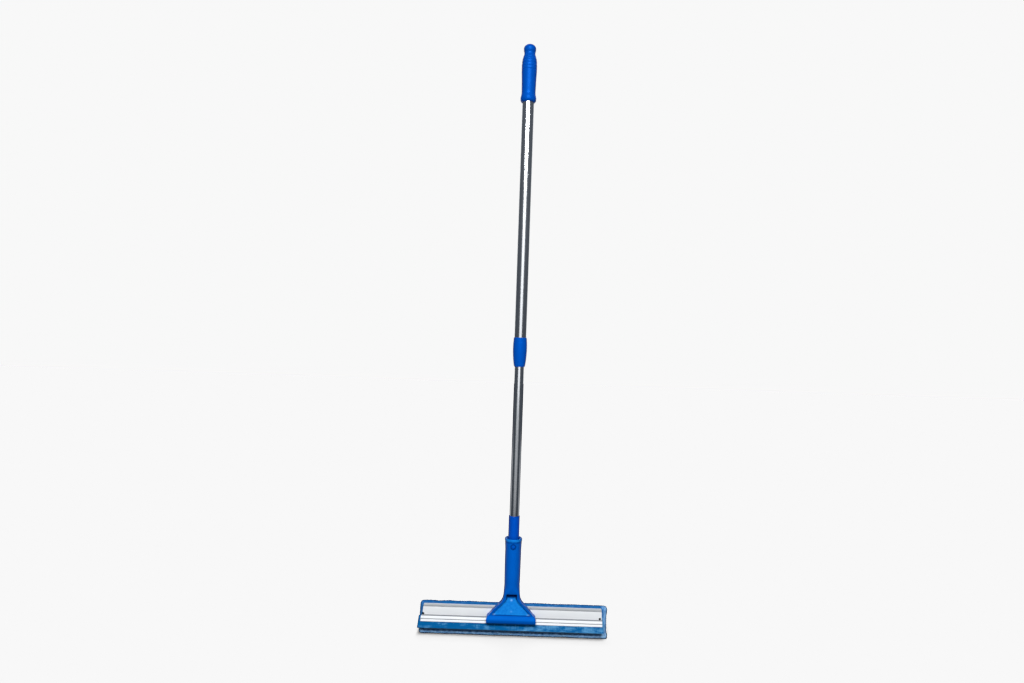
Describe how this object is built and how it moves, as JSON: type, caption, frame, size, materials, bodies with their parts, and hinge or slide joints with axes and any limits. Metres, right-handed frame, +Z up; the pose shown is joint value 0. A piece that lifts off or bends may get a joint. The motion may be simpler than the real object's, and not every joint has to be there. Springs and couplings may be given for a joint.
{
  "type": "window squeegee",
  "caption": "Window squeegee with a long rubber blade in an aluminium holder, a peel-off washing pad behind it, a fan-shaped plastic head and a telescopic twist-lock pole",
  "frame": {"origin": "middle of the blade's wiping edge, straight below the pole's axis", "axes": "+Z up along the pole towards the grip, +Y to the back where the washing pad is, X along the blade"},
  "size_m": [0.3548, 0.0448, 1.1142],
  "materials": {
    "blue_plastic": "smooth moulded, semi-gloss",
    "adapter_plastic": "smooth moulded, semi-gloss",
    "white_plastic": "moulded, matt",
    "bright_aluminium": "bright drawn tube",
    "satin_aluminium": "extruded, silver anodised satin",
    "blue_rubber": "matt, slightly chalky",
    "black_steel": "blackened",
    "zinc_steel": "zinc plated",
    "hook_tape": "woven hook tape",
    "loop_cloth": "brushed loop cloth",
    "white_foam": "open-cell foam",
    "blue_fibre": "short-pile microfibre"
  },
  "bodies": {
    "outer_pole": {"outer_tube": "bright_aluminium", "hand_grip": "blue_plastic", "collar": "blue_plastic", "guide_bush": "white_plastic"},
    "lock_sleeve": {"lock_sleeve": "white_plastic"},
    "cone_nut": {"cone_nut": "blue_plastic"},
    "inner_pole": {"inner_tube": "bright_aluminium", "lock_screw": "white_plastic", "retaining_ring": "zinc_steel", "socket_adapter": "adapter_plastic", "adapter_rivet": "black_steel", "button_spring": "zinc_steel", "head_body": "blue_plastic", "blade_holder": "satin_aluminium", "rubber_blade": "blue_rubber", "blade_stop_screw_left": "black_steel", "blade_stop_screw_right": "black_steel", "plate_screw_left": "zinc_steel", "plate_screw_centre": "zinc_steel", "plate_screw_right": "zinc_steel", "hook_strip": "hook_tape"},
    "lock_button": {"lock_button": "blue_plastic"},
    "pad": {"pad_cover": "blue_fibre", "pad_foam": "white_foam", "pad_backing": "loop_cloth"}
  },
  "joints": [
    {"name": "telescope", "type": "slide", "parent": "outer_pole", "child": "lock_sleeve", "axis": [0, 0, -1], "range_m": [-0.2769, 0.2018]},
    {"name": "twist", "type": "hinge", "parent": "lock_sleeve", "child": "inner_pole", "pos_m": [0, 0, 0.7449], "axis": [0, 0, -1], "range_deg": [0, 180]},
    {"name": "nut_travel", "type": "slide", "parent": "lock_sleeve", "child": "cone_nut", "axis": [0, 0, 1], "range_m": [0, 0.0021]},
    {"name": "button_press", "type": "slide", "parent": "inner_pole", "child": "lock_button", "axis": [0, 1, 0], "range_m": [0, 0.0025], "stiffness_N_per_m": 800, "springref_m": -0.001, "deforming": ["button_spring"]},
    {"name": "pad_peel", "type": "slide", "parent": "inner_pole", "child": "pad", "axis": [0, 1, 0], "range_m": [0, 0.05]}
  ],
  "couplings": [
    {"joint": "nut_travel", "follows": "twist", "m_per_rad": 0.00063662}
  ]
}
